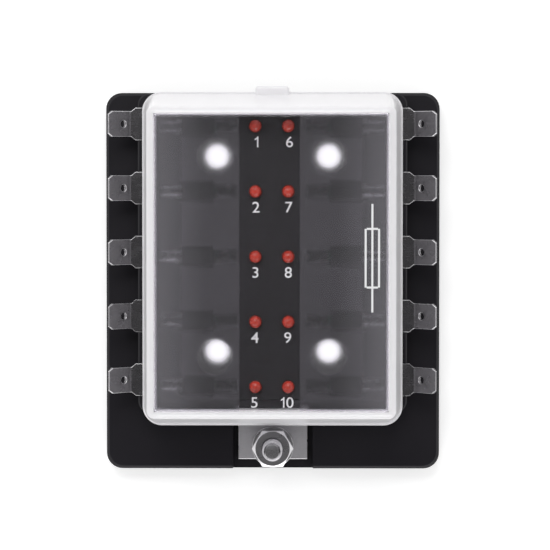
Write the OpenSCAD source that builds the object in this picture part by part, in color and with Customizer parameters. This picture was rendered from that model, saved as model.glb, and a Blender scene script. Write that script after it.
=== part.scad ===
// Blade fuse block: ten fused outlets fed from one stud, with a lamp for each fuse.
// The origin is the centre of the four mounting holes, on the underside of the base.
// +Y points to the back edge, where the cover has its thumb tab, and the feed stud is at the front.
// Circuits 1 to 5 run down the left side and 6 to 10 down the right side.

/* [Circuits] */
// Number of rows, with one fuse on either side of each
rows = 5; // [3:1:6]
// Distance from one row to the next
row_pitch = 15.875; // [15:0.125:18]
// Distance from the centre line to the middle of a fuse
fuse_x = 18; // [18:0.25:21]
// Distance from the middle of a fuse to the middle of one of its tines
tine_offset = 6.9; // [6.6:0.1:7.2]
// Width of a fuse tine
tine_w = 5.2; // [4.8:0.1:5.4]
// Thickness of the fuse body that sits in the socket
fuse_body_t = 4.6; // [4.4:0.1:5]

/* [Base] */
// Thickness of the mounting plate
plate_t = 6; // [5.5:0.25:8]
// How far the plate stands out past the deck on each side
plate_lip = 8.3; // [8.2:0.1:12]
// How far the plate stands out past the deck at the back
back_lip = 0.3; // [0.2:0.1:4]
// How far the plate stands out past the deck at the front
front_lip = 14.7; // [14.4:0.1:20]
// Corner radius of the plate
plate_r = 4; // [2:0.5:6]
// Bevel along the top edges of the base
base_bevel = 0.7; // [0.3:0.1:1]
// Height of the deck above the plate
deck_h = 6; // [5:0.25:8]
// Corner radius of the deck
deck_r = 2.7; // [1.5:0.1:4]
// How far the deck stands out past the cover on each side
deck_margin = 1.5; // [0.8:0.1:2]

/* [Mounting] */
// Distance between the mounting holes across the base
hole_spacing_x = 28; // [27:0.5:30]
// How far each mounting hole sits outside the middle of the two end rows
hole_shift = 0.7; // [0:0.1:0.8]
// Diameter of a mounting hole
hole_d = 5.9; // [4.5:0.1:6.5]
// Thickness of the floor that the screw head bears on
hole_floor = 4; // [3.5:0.25:5]
// Diameter of the well for the screw head
well_d = 8.6; // [7.5:0.1:8.8]

/* [Carrier] */
// Height of the outer shelf above the deck
shelf_h = 8; // [7.8:0.1:9]
// Height of the middle ridge above the deck
ridge_h = 13; // [12.5:0.25:15]
// Depth of a fuse seat below the top of the ridge
seat_depth = 7; // [6:0.25:7.5]
// Distance from the middle of a fuse to the edge of the ridge
ridge_reach = 4.5; // [4.2:0.1:5]
// Wall outside the last tine slot
shelf_wall = 1.2; // [0.9:0.1:2]
// Wall past the end rows
end_wall = 1.25; // [1:0.05:2]
// Height of the flange that the cover locates on
flange_h = 2.5; // [2:0.1:3.5]
// How far the flange stands out past the shelf
flange_lip = 1.1; // [1:0.1:2]
// Corner radius of the flange
flange_r = 3; // [2:0.5:4]
// Width of the slot over a clip on the busbar side
inner_slot_w = 3; // [2.6:0.1:3.4]
// Width of the slot over a clip on the outer side
outer_slot_w = 2.6; // [2.4:0.1:3]

/* [Cover] */
// Height of the cover
cover_h = 25; // [20:0.5:32]
// Wall thickness of the cover
cover_wall = 1.65; // [1.2:0.05:2]
// Gap between the cover and the flange of the carrier
cover_gap = 0.35; // [0.3:0.05:1]
// Inset of the flat top from the rim on each side
top_inset_side = 3.7; // [2:0.1:4.2]
// Inset of the flat top from the rim at the back
top_inset_back = 5.35; // [2:0.1:5.8]
// Inset of the flat top from the rim at the front
top_inset_front = 6.1; // [2:0.1:7]
// Radius along the top edge of the cover
cover_edge_r = 1.8; // [1:0.1:1.9]
// Radius of the upright corners of the cover at its rim
cover_corner_r = 4.5; // [3:0.1:5]
// How far the front wall stands ahead of the other walls
cover_front_reach = 1.95; // [1.5:0.1:2.4]
// More room between the cover and the flange at the back, over the gap
cover_back_room = 0.65; // [0.1:0.05:1]
// How far the foot of the cover stands out around its rim
foot_reach = 0.35; // [0.2:0.05:0.6]
// Height of the foot of the cover
foot_h = 1.2; // [0.8:0.1:2]
// Width of the thumb tab
tab_w = 8.4; // [6:0.2:14]
// Reach of the thumb tab past the rim
tab_reach = 1.75; // [1:0.05:4]
// Thickness of the thumb tab
tab_t = 2.4; // [1.5:0.1:4]
// Height of the thumb tab above the rim
tab_rise = 2; // [1:0.1:6]

/* [Terminals] */
// Thickness of the clips and outgoing terminals
sheet_t = 0.8; // [0.6:0.05:0.9]
// Width of the strip between the clip and the spade tab
strip_w = 8; // [7:0.1:8.6]
// Width of the spade tab
spade_w = 6.3; // [4.8:0.1:6.4]
// Length of the flat of the spade tab past its bend
spade_l = 6.4; // [5.6:0.1:7]
// Angle by which the spade tab is bent up
spade_angle = 44; // [20:1:60]
// Inner radius of the bends in the terminals
bend_r = 0.8; // [0.5:0.1:1.2]
// Diameter of the detent hole in the spade tab
detent_d = 1.8; // [1.2:0.1:2]
// Distance from the tip of the spade tab to its detent hole
detent_from_tip = 4.6; // [3.6:0.1:4.7]
// Distance from the deck's edge to the bend
bend_reach = 1.6; // [1.1:0.05:3]
// How far the strip and spade tab sit behind the middle of their row
strip_shift = 0.7; // [-0.8:0.1:0.8]

/* [Feed] */
// Thickness of the busbar
bus_t = 1.6; // [1.2:0.1:2]
// Width of the busbar between its lugs
bus_w = 10; // [8:0.5:12]
// Width of the feed tab
feed_w = 17.4; // [14:0.2:18]
// Height of the feed tab's underside above the base's underside
feed_z = 3.4; // [3.2:0.1:3.8]
// Distance from the front of the deck to the stud
stud_reach = 9.2; // [8.9:0.1:10]
// Distance from the stud to the end of the feed tab
feed_end = 3.2; // [3:0.1:4]
// Diameter of the stud
stud_d = 5; // [4:0.5:5]
// Height of the stud above the nut
stud_free = 7.8; // [4:0.2:14]
// Width of the nut across its flats
nut_af = 9; // [8:0.5:9.5]
// Height of the nut
nut_h = 4; // [3:0.1:5]
// Diameter of the flat washer
washer_d = 10.4; // [9:0.1:10.6]
// Thickness of the flat washer
washer_t = 1; // [0.6:0.1:1.4]
// Diameter of the lock washer
lock_d = 9.2; // [8:0.1:9.6]
// Thickness of the lock washer
lock_t = 1.2; // [0.8:0.1:1.6]

/* [Lamps] */
// Thickness of the circuit board
board_t = 1.6; // [1:0.1:2]
// Distance from the centre line to a lamp
led_x = 4; // [3.6:0.1:4.6]
// Distance from one lamp to the next down the board
led_pitch = 15.875; // [15:0.025:17]
// Diameter of a lamp
led_d = 3; // [2.6:0.1:3.2]
// Height of a lamp with its flange
led_h = 5.2; // [4.8:0.1:5.6]
// Thickness of the flange of a lamp
led_flange_h = 1; // [0.8:0.1:1.2]
// How far a lamp stands out of the ridge
led_proud = 2.5; // [2:0.1:2.8]
// Diameter of a resistor
resistor_d = 1.6; // [1.2:0.1:1.8]
// Length of a resistor
resistor_l = 3.4; // [2.6:0.1:3.6]

/* [Hidden] */
$fn = 48;
cut = 1;
hull_fn = 32;
circuits = 2 * rows;

// Levels above the underside of the base
deck_z = plate_t + deck_h;
strip_z = deck_z - 0.1 - sheet_t;
bus_z = strip_z - bus_t;
board_top = deck_z + board_t;
shelf_z = deck_z + shelf_h;
ridge_z = deck_z + ridge_h;
seat_z = ridge_z - seat_depth;
clip_roof = shelf_z - 1;
led_z = ridge_z + led_proud - led_h;
cover_top = deck_z + cover_h;
feed_top = feed_z + bus_t;
nut_z = feed_top + washer_t + lock_t;
stud_top = nut_z + nut_h + stud_free;

// Places along X, counted from the centre line outwards
inner_tine_x = fuse_x - tine_offset;
outer_tine_x = fuse_x + tine_offset;
tine_slack = 0.1;
inner_slot_x = inner_tine_x - tine_w / 2 - tine_slack;
outer_slot_x = outer_tine_x + tine_w / 2 + tine_slack;
seat_x = inner_tine_x + tine_w / 2 + 0.5;
ridge_half = fuse_x + ridge_reach;
shelf_half = outer_slot_x + shelf_wall;
flange_half = shelf_half + flange_lip;
rim_half = flange_half + cover_gap + cover_wall;
deck_half = rim_half + deck_margin;
plate_half = deck_half + plate_lip;
bend_x = deck_half + bend_reach;
cavity_half = inner_slot_x - 1.2;
hole_x = hole_spacing_x / 2;

// Places along Y, counted from the middle of the rows
lamp_hole_d = led_d + 0.2;
last_row = (rows - 1) / 2 * row_pitch;
last_lamp = (rows - 1) / 2 * led_pitch;
hole_y = last_row - row_pitch / 2 + hole_shift;
seat_w = fuse_body_t + tine_slack;
row_end = max(last_row + seat_w / 2, last_lamp + lamp_hole_d / 2);
ridge_end = row_end + end_wall;
shelf_end = ridge_end + 0.9;
flange_end = shelf_end + flange_lip;
rim_back = flange_end + cover_gap + cover_back_room + cover_wall;
rim_front = rim_back + cover_front_reach;
deck_back = rim_back;
deck_front = flange_end + 1.8;
plate_back = deck_back + back_lip;
plate_front = deck_front + front_lip;
web_y = deck_front + 0.9;
stud_y = deck_front + stud_reach;
pocket_half = feed_w / 2 + 1.3;

// Board under the carrier, and the resistors on it
board_half = shelf_half - 0.5;
board_end = shelf_end - 0.5;
resistor_x = 1.2;

// Head of the stud under the feed tab
stud_head_d = 8;
stud_head_t = 1.6;

// Carrier screws stand between the middle rows
screw_x = fuse_x;
screw_y = row_pitch / 2;
screw_d = 3;
screw_head_d = 5.6;
screw_head_h = 2;
screw_grip = 4.5;

// Clip leaves: where the two leaves stand at the foot, at the waist and at the mouth
leaf_foot = 1.55;
leaf_waist = 0.25 + sheet_t / 2;
leaf_mouth = 1.3;
leaf_straight = board_t + sheet_t + 0.3;
leaf_top = clip_roof - strip_z - 0.4;
leaf_waist_h = leaf_top - 1.8;
clip_half = leaf_foot + sheet_t / 2;
clip_room = clip_half + 0.2;
lug_w = 2 * clip_half + 1.3;

function row_y(i) = last_row - ((i - 1) % rows) * row_pitch;
function on_left(i) = i <= rows;
function reversed(list) = [for (k = [len(list) - 1:-1:0]) list[k]];

// Middle line of one clip leaf: straight through the board, in to the waist, out to the mouth
function leaf_line() = concat(
    [[leaf_foot, 0]],
    [for (k = [0:6]) [
        leaf_foot + (leaf_waist - leaf_foot) * (1 - cos(30 * k)) / 2,
        leaf_straight + (leaf_waist_h - leaf_straight) * k / 6
    ]],
    [for (k = [1:4]) [
        leaf_waist + (leaf_mouth - leaf_waist) * (1 - cos(22.5 * k)),
        leaf_waist_h + (leaf_top - leaf_waist_h) * k / 4
    ]]
);

// Puts a piece drawn for the right side of the middle row in its own place
module at_circuit(i) {
    translate([0, row_y(i), 0])
        if (on_left(i)) mirror([1, 0, 0]) children();
        else children();
}

// Puts a lamp drawn on the Z axis beside its fuse
module at_lamp(i) {
    side = on_left(i) ? -1 : 1;
    translate([side * led_x, row_y(i) * led_pitch / row_pitch, 0]) children();
}

// Repeats a cut for every circuit
module every_circuit() {
    for (i = [1:circuits]) at_circuit(i) children();
}

module four_times(x, y) {
    for (sx = [-1, 1], sy = [-1, 1]) translate([sx * x, sy * y, 0]) children();
}

// Box between two corners
module block(low, high) {
    translate(low) cube(high - low);
}

// Plan outline of a rounded rectangle between two corners
module rounded_plan(low, high, r) {
    translate(low + [r, 0]) square(high - low - [2 * r, 0]);
    translate(low + [0, r]) square(high - low - [0, 2 * r]);
    for (x = [low[0] + r, high[0] - r], y = [low[1] + r, high[1] - r]) translate([x, y]) circle(r);
}

// Rounded slab whose top edge is bevelled
module bevelled_slab(low, high, z0, z1, r, bevel) {
    hull() {
        translate([0, 0, z0])
            linear_extrude(z1 - z0 - bevel)
                rounded_plan(low, high, r, $fn = hull_fn);
        translate([0, 0, z0])
            linear_extrude(z1 - z0)
                rounded_plan(low + [bevel, bevel], high - [bevel, bevel], r - bevel / 2, $fn = hull_fn);
    }
}

// Extrudes a YZ profile along X from x0 to x1
module along_x(x0, x1) {
    translate([x0, 0, 0]) rotate([90, 0, 90]) linear_extrude(x1 - x0) children();
}

// Base moulding

// Rows of cells that core out the underside, between a rim and ribs
module underside_cells() {
    rim = 2.6;
    rib = 2;
    cell_max = 8.6;
    floor_min = 2.5;
    depth_max = 3;
    depth = min(depth_max, plate_t - floor_min);
    inner_w = 2 * (plate_half - rim);
    inner_l = plate_back + plate_front - 2 * rim;
    across = 2 * ceil((inner_w + rib) / (cell_max + rib) / 2);
    along = 3;
    cell_w = (inner_w + rib) / across - rib;
    cell_l = (inner_l + rib) / along - rib;
    for (i = [0:across - 1], k = [0:along - 1])
        translate([rim - plate_half + i * (cell_w + rib), rim - plate_front + k * (cell_l + rib), -cut])
            cube([cell_w, cell_l, depth + cut]);
}

// What stays solid under the plate: bosses round the holes and the floor under the feed tab
module underside_bosses() {
    boss_h = 5;
    four_times(hole_x, hole_y) cylinder(r = well_d / 2 + 1.2, h = boss_h);
    four_times(screw_x, screw_y) cylinder(r = screw_head_d / 2 + 1.6, h = boss_h);
    block([-pocket_half - 2, -plate_front, 0], [pocket_half + 2, 2 - deck_front, feed_z]);
}

// Seats cut into the deck for the busbar, its lugs and the outgoing strips
module deck_seats() {
    clear = 0.2;
    top = deck_z + cut;
    block(
        [-bus_w / 2 - clear, -deck_front - cut, bus_z],
        [bus_w / 2 + clear, last_row + clip_half + 1 + clear, top]
    );
    block(
        [-feed_w / 2 - clear, -deck_front - cut, bus_z],
        [feed_w / 2 + clear, -last_row - clip_half - 1, top]
    );
    every_circuit() {
        block(
            [0, -lug_w / 2 - clear, bus_z],
            [inner_tine_x + tine_w / 2 + clear, lug_w / 2 + clear, top]
        );
        block(
            [outer_tine_x - tine_w / 2 - clear, strip_shift - strip_w / 2 - clear, strip_z],
            [deck_half + cut, strip_shift + strip_w / 2 + clear, top]
        );
    }
}

module base() {
    color("#232026")
    difference() {
        union() {
            difference() {
                bevelled_slab(
                    [-plate_half, -plate_front], [plate_half, plate_back],
                    0, plate_t, plate_r, base_bevel
                );
                underside_cells();
            }
            underside_bosses();
            bevelled_slab(
                [-deck_half, -deck_front], [deck_half, deck_back],
                plate_t - 1, deck_z, deck_r, base_bevel / 2
            );
        }
        deck_seats();
        // Open recess for the feed tab, with a sink for the head of the stud
        block([-pocket_half, -plate_front - cut, feed_z], [pocket_half, -deck_front, deck_z + cut]);
        translate([0, -stud_y, feed_z - stud_head_t - 0.2])
            cylinder(d = stud_head_d + 0.6, h = stud_head_t + cut);
        four_times(hole_x, hole_y) {
            translate([0, 0, -cut]) cylinder(d = hole_d, h = hole_floor + 2 * cut);
            translate([0, 0, hole_floor]) cylinder(d = well_d, h = deck_z);
        }
        four_times(screw_x, screw_y) {
            translate([0, 0, -cut]) cylinder(d = screw_head_d + 0.4, h = screw_head_h + 0.2 + cut);
            cylinder(d = screw_d + 0.4, h = deck_z + cut);
        }
    }
}

// Fuse carrier

// One socket, drawn for the right side of the middle row
module socket_cut() {
    mouth = 0.5;
    inner = inner_slot_w / 2;
    outer = outer_slot_w / 2;
    seat = seat_w / 2;
    below = deck_z - cut;
    // Slot over the busbar clip, flared at the top
    along_x(inner_slot_x, seat_x + 0.1)
        polygon([
            [-inner, below], [inner, below], [inner, ridge_z - mouth], [inner + mouth, ridge_z + 0.01],
            [-inner - mouth, ridge_z + 0.01], [-inner, ridge_z - mouth]
        ]);
    // Seat of the fuse body, open through the side of the ridge
    along_x(seat_x, ridge_half + cut)
        polygon([
            [-seat, seat_z], [seat, seat_z], [seat, ridge_z - mouth], [seat + mouth, ridge_z + 0.01],
            [-seat - mouth, ridge_z + 0.01], [-seat, ridge_z - mouth]
        ]);
    // Slot over the outgoing clip, through the shelf
    along_x(outer_tine_x - tine_w / 2 - tine_slack, outer_slot_x)
        polygon([
            [-outer, below], [outer, below], [outer, shelf_z - mouth], [outer + mouth, shelf_z + 0.01],
            [-outer - mouth, shelf_z + 0.01], [-outer, shelf_z - mouth]
        ]);
    // Rooms for the two clips, open at the underside
    for (x = [inner_tine_x, outer_tine_x])
        block(
            [x - tine_w / 2 - tine_slack, -clip_room, below],
            [x + tine_w / 2 + tine_slack, clip_room, clip_roof]
        );
}

module fuse_carrier() {
    color("#2c292e")
    difference() {
        union() {
            translate([0, 0, deck_z])
                linear_extrude(flange_h)
                    rounded_plan([-flange_half, -flange_end], [flange_half, flange_end], flange_r);
            bevelled_slab(
                [-shelf_half, -shelf_end], [shelf_half, shelf_end],
                deck_z, shelf_z, 2.5, 0.5
            );
            bevelled_slab(
                [-ridge_half, -ridge_end], [ridge_half, ridge_end],
                deck_z, ridge_z, 1.6, 0.5
            );
        }
        every_circuit() socket_cut();
        // Room for the board, and above it the room for the lamps and resistors
        block(
            [-board_half - 0.15, -board_end - 0.15, deck_z - cut],
            [board_half + 0.15, board_end + 0.15, board_top]
        );
        block(
            [-cavity_half, -ridge_end + 1.1, deck_z],
            [cavity_half, ridge_end - 1.1, led_z + led_flange_h]
        );
        for (i = [1:circuits])
            at_lamp(i) translate([0, 0, deck_z]) cylinder(d = lamp_hole_d, h = ridge_h + cut);
        four_times(hole_x, hole_y)
            translate([0, 0, deck_z - cut]) cylinder(d = well_d, h = ridge_h + 2 * cut);
        four_times(screw_x, screw_y)
            translate([0, 0, deck_z - cut]) cylinder(d = screw_d + 0.1, h = screw_grip + 0.3 + cut);
    }
}

// Cover

// Outer form of the cover, shrunk inwards by the given amount
module cover_form(shrink, z0, z1) {
    rim_r = cover_corner_r - shrink / 2;
    top_r = cover_edge_r - shrink / 2;
    side = rim_half - shrink - rim_r;
    back = rim_back - shrink - rim_r;
    front = rim_front - shrink - rim_r;
    flat = (cover_edge_r - shrink) - top_r;
    top_side = rim_half - top_inset_side + flat;
    top_back = rim_back - top_inset_back + flat;
    top_front = rim_front - top_inset_front + flat;
    hull() {
        for (x = [-side, side], y = [-front, back])
            translate([x, y, z0]) cylinder(r = rim_r, h = 0.2, $fn = hull_fn);
        for (x = [-top_side, top_side], y = [-top_front, top_back])
            translate([x, y, z1 - top_r]) sphere(r = top_r, $fn = hull_fn);
    }
}

module cover_foot() {
    translate([0, 0, deck_z])
        linear_extrude(foot_h)
            rounded_plan(
                [-rim_half - foot_reach, -rim_front - foot_reach],
                [rim_half + foot_reach, rim_back + foot_reach],
                cover_corner_r + foot_reach
            );
}

module thumb_tab() {
    corner = 1;
    root = rim_back - cover_wall - 0.3;
    translate([0, 0, deck_z + tab_rise])
        linear_extrude(tab_t) {
            translate([-tab_w / 2, root]) square([tab_w, rim_back + tab_reach - corner - root]);
            rounded_plan([-tab_w / 2, rim_back - corner], [tab_w / 2, rim_back + tab_reach], corner);
        }
}

module cover() {
    color("#d8d6dc", 0.5)
    difference() {
        union() {
            cover_form(0, deck_z, cover_top);
            cover_foot();
            thumb_tab();
        }
        cover_form(cover_wall, deck_z - 0.2, cover_top - cover_wall);
    }
}

// Busbar

module busbar() {
    color("#a9a49a") {
        // Comb over the rows: a strip with a lug under each clip
        translate([0, 0, bus_z])
            linear_extrude(bus_t)
                union() {
                    translate([-bus_w / 2, -web_y + bend_r])
                        square([bus_w, web_y - bend_r + last_row + clip_half + 1]);
                    translate([-feed_w / 2, -web_y + bend_r])
                        square([feed_w, web_y - bend_r - last_row - clip_half - 1.2]);
                    for (i = [1:rows])
                        translate([-inner_tine_x - tine_w / 2, row_y(i) - lug_w / 2])
                            square([2 * inner_tine_x + tine_w, lug_w]);
                }
        // Bend over the front of the deck, web, and bend out to the feed tab
        translate([0, -web_y + bend_r, bus_z - bend_r])
            rotate([0, -90, 180])
                rotate_extrude(angle = 90)
                    translate([bend_r, -feed_w / 2]) square([bus_t, feed_w]);
        block(
            [-feed_w / 2, -web_y - bus_t, feed_top + bend_r],
            [feed_w / 2, -web_y, bus_z - bend_r]
        );
        translate([0, -web_y - bus_t - bend_r, feed_top + bend_r])
            rotate([0, 90, 0])
                rotate_extrude(angle = 90)
                    translate([bend_r, -feed_w / 2]) square([bus_t, feed_w]);
        difference() {
            block(
                [-feed_w / 2, -stud_y - feed_end, feed_z],
                [feed_w / 2, -web_y - bus_t - bend_r, feed_top]
            );
            translate([0, -stud_y, feed_z - cut]) cylinder(d = stud_d + 0.1, h = bus_t + 2 * cut);
        }
    }
}

// Clips and outgoing terminals

// Two spring leaves that stand on their foot, with the tine slot between them
module clip_leaves(x) {
    half = sheet_t / 2;
    line = leaf_line();
    leaf = concat(
        [for (p = line) p + [half, strip_z]],
        [for (p = reversed(line)) p + [-half, strip_z]]
    );
    along_x(x - tine_w / 2, x + tine_w / 2) {
        polygon(leaf);
        mirror([1, 0]) polygon(leaf);
    }
}

module bus_clip(i) {
    color("#b5b0a6")
    at_circuit(i) {
        block(
            [inner_tine_x - tine_w / 2, -clip_half, strip_z],
            [inner_tine_x + tine_w / 2, clip_half, strip_z + sheet_t]
        );
        clip_leaves(inner_tine_x);
    }
}

// Plan of the spade tab from the end of its bend to its tip
module spade_plan() {
    half = spade_w / 2;
    corner = [1.1, 0.75];
    difference() {
        polygon([
            [0, -half], [spade_l - corner[0], -half], [spade_l, corner[1] - half],
            [spade_l, half - corner[1]], [spade_l - corner[0], half], [0, half]
        ]);
        translate([spade_l - detent_from_tip, 0]) circle(d = detent_d);
    }
}

// Side profile of the spade tab, with a lead-in taper at its tip
module spade_profile() {
    taper = 0.9;
    thin = 0.2;
    polygon([
        [-0.01, 0], [spade_l - taper, 0], [spade_l, thin],
        [spade_l, sheet_t - thin], [spade_l - taper, sheet_t], [-0.01, sheet_t]
    ]);
}

module load_terminal(i) {
    shoulder = 1;
    neck_x = outer_tine_x + tine_w / 2;
    color("#8f8c8c")
    at_circuit(i) {
        // Flat strip from the clip out over the deck, with sloped shoulders before the spade tab
        translate([0, 0, strip_z])
            linear_extrude(sheet_t)
                polygon([
                    [outer_tine_x - tine_w / 2, -clip_half], [neck_x, -clip_half],
                    [neck_x + 0.8, strip_shift - strip_w / 2],
                    [bend_x - shoulder, strip_shift - strip_w / 2],
                    [bend_x, strip_shift - spade_w / 2], [bend_x, strip_shift + spade_w / 2],
                    [bend_x - shoulder, strip_shift + strip_w / 2],
                    [neck_x + 0.8, strip_shift + strip_w / 2],
                    [neck_x, clip_half], [outer_tine_x - tine_w / 2, clip_half]
                ]);
        clip_leaves(outer_tine_x);
        translate([bend_x, strip_shift, strip_z + sheet_t + bend_r]) {
            rotate([90, 90, 0])
                rotate_extrude(angle = spade_angle)
                    translate([bend_r, -spade_w / 2]) square([sheet_t, spade_w]);
            rotate([0, -spade_angle, 0])
                translate([0, 0, -bend_r - sheet_t])
                    intersection() {
                        linear_extrude(sheet_t) spade_plan();
                        translate([0, spade_w, 0])
                            rotate([90, 0, 0])
                                linear_extrude(2 * spade_w) spade_profile();
                    }
        }
    }
}

// Board, lamps and resistors

module led_board() {
    color("#2f6b45")
    translate([0, 0, deck_z])
        linear_extrude(board_t)
            difference() {
                rounded_plan([-board_half, -board_end], [board_half, board_end], 1);
                every_circuit()
                    for (x = [inner_tine_x, outer_tine_x])
                        translate([x - tine_w / 2 - 0.1, -clip_half - 0.1])
                            square([tine_w + 0.2, 2 * clip_half + 0.2]);
                four_times(hole_x, hole_y) circle(d = well_d + 0.2);
                four_times(screw_x, screw_y) circle(d = screw_d + 0.6);
            }
}

module led(i) {
    r = led_d / 2;
    lead_t = 0.5;
    lead_gap = 1.27;
    color("#d8382e")
    at_lamp(i) {
        translate([0, 0, led_z])
            rotate_extrude()
                difference() {
                    union() {
                        square([r + 0.4, led_flange_h]);
                        square([r, led_h - r]);
                        translate([0, led_h - r]) circle(r);
                    }
                    translate([-2 * r, -cut]) square([2 * r, led_h + 2 * cut]);
                }
        for (s = [-1, 1])
            block(
                [s * lead_gap - lead_t / 2, -lead_t / 2, board_top],
                [s * lead_gap + lead_t / 2, lead_t / 2, led_z]
            );
    }
}

module resistor(i) {
    lead_d = 0.5;
    reach = resistor_l / 2 + 0.4;
    color("#c9b48a")
    at_circuit(i) translate([resistor_x, 0, board_top + resistor_d / 2]) {
        rotate([90, 0, 0]) cylinder(d = resistor_d, h = resistor_l, center = true);
        rotate([90, 0, 0]) cylinder(d = lead_d, h = 2 * reach, center = true);
        for (s = [-1, 1])
            translate([0, s * reach, -resistor_d / 2]) cylinder(d = lead_d, h = resistor_d / 2);
    }
}

// Feed stud and its hardware

module stud() {
    r = stud_d / 2;
    chamfer = 0.6;
    color("#b9b8bb")
    translate([0, -stud_y, 0])
        rotate_extrude()
            polygon([
                [0, feed_z - stud_head_t], [stud_head_d / 2, feed_z - stud_head_t],
                [stud_head_d / 2, feed_z], [r, feed_z],
                [r, stud_top - chamfer], [r - chamfer, stud_top], [0, stud_top]
            ]);
}

module flat_washer() {
    color("#c4c3c6")
    translate([0, -stud_y, feed_top])
        rotate_extrude()
            translate([stud_d / 2 + 0.1, 0]) square([(washer_d - stud_d) / 2 - 0.1, washer_t]);
}

module lock_washer() {
    split = 0.9;
    split_lean = 25;
    color("#b2b1b5")
    translate([0, -stud_y, feed_top + washer_t])
        difference() {
            rotate_extrude()
                translate([stud_d / 2 + 0.1, 0]) square([(lock_d - stud_d) / 2 - 0.1, lock_t]);
            rotate([0, 0, 35])
                translate([lock_d / 2, 0, lock_t / 2])
                    rotate([split_lean, 0, 0])
                        cube([lock_d, split, 4 * lock_t], center = true);
        }
}

module terminal_nut() {
    corner = nut_af / cos(30) / 2;
    round_in = 0.55;
    round_up = 0.35;
    bore = stud_d / 2 + 0.05;
    color("#a3a2a6")
    translate([0, -stud_y, nut_z])
        difference() {
            intersection() {
                cylinder(r = corner, h = nut_h, $fn = 6);
                rotate_extrude()
                    polygon([
                        [0, 0], [corner - round_in, 0], [corner, round_up],
                        [corner, nut_h - round_up], [corner - round_in, nut_h], [0, nut_h]
                    ]);
            }
            rotate_extrude()
                polygon([
                    [0, -cut], [bore + 0.4, -cut], [bore + 0.4, 0], [bore, 0.4],
                    [bore, nut_h - 0.4], [bore + 0.4, nut_h], [bore + 0.4, nut_h + cut], [0, nut_h + cut]
                ]);
        }
}

// Screws that come up through the base and the board into the carrier
module carrier_screws() {
    drive_d = 1.8;
    color("#8b8a8e")
    four_times(screw_x, screw_y)
        difference() {
            union() {
                translate([0, 0, 0.2]) cylinder(d = screw_head_d, h = screw_head_h);
                cylinder(d = screw_d, h = deck_z + screw_grip);
            }
            translate([0, 0, -cut]) cylinder(d = drive_d, h = cut + 1.4, $fn = 6);
        }
}

base();
fuse_carrier();
cover();
busbar();
led_board();
stud();
flat_washer();
lock_washer();
terminal_nut();
carrier_screws();
for (i = [1:circuits]) {
    bus_clip(i);
    load_terminal(i);
    led(i);
    resistor(i);
}
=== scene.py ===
"""Blade fuse block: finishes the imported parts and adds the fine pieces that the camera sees."""

import math

import bmesh
import bpy
from mathutils import Matrix, Vector


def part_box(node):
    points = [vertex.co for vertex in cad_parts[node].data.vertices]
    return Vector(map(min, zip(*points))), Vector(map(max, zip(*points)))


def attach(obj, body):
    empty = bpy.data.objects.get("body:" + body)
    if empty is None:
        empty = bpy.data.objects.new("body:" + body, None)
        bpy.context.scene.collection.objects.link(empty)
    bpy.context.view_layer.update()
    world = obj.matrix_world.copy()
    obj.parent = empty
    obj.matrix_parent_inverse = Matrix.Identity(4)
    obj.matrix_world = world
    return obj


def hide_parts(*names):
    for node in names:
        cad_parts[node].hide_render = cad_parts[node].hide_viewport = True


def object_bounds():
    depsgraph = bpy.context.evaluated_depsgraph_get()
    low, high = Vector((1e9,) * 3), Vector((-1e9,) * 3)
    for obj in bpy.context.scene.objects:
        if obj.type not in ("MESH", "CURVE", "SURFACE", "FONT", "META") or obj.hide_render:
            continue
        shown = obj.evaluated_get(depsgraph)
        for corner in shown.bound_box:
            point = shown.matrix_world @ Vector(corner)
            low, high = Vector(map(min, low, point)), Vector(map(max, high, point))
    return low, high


bl_info = {
    "name": "Blade Fuse Block",
    "version": (1, 0, 0),
    "blender": (4, 5, 0),
    "location": "View3D > Sidebar > Fuse Block",
    "description": "Finishes a ten-way blade fuse block with a frosted cover",
    "category": "Object",
}

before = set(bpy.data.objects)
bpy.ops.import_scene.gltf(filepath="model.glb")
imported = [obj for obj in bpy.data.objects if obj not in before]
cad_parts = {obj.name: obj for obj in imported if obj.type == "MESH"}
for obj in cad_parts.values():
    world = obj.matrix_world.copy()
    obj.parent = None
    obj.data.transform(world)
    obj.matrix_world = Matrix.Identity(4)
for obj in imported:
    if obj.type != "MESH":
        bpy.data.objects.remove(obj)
CAD_BOX = [list(corner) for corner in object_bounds()]

MM = 0.001
CIRCUITS = 10
ROWS = 5
UP = Vector((0, 0, 1))


def low(node):
    return Vector(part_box(node)[0])


def high(node):
    return Vector(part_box(node)[1])


def middle(node):
    """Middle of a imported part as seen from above, at height zero."""
    lo, hi = low(node), high(node)
    return Vector(((lo.x + hi.x) / 2, (lo.y + hi.y) / 2, 0))


# Sizes and colours that a user would change

def length(name, description, default, **more):
    return bpy.props.FloatProperty(
        name=name, description=description, default=default,
        min=0.0, subtype="DISTANCE", unit="LENGTH", precision=5, **more
    )


def colour(name, description, default):
    return bpy.props.FloatVectorProperty(
        name=name, description=description, default=default,
        size=3, min=0.0, max=1.0, subtype="COLOR"
    )


def share(name, description, default):
    return bpy.props.FloatProperty(
        name=name, description=description, default=default, min=0.0, max=1.0, subtype="FACTOR"
    )


def amount(name, description, default, **more):
    return bpy.props.FloatProperty(
        name=name, description=description, default=default, min=0.0, **more
    )


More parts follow.
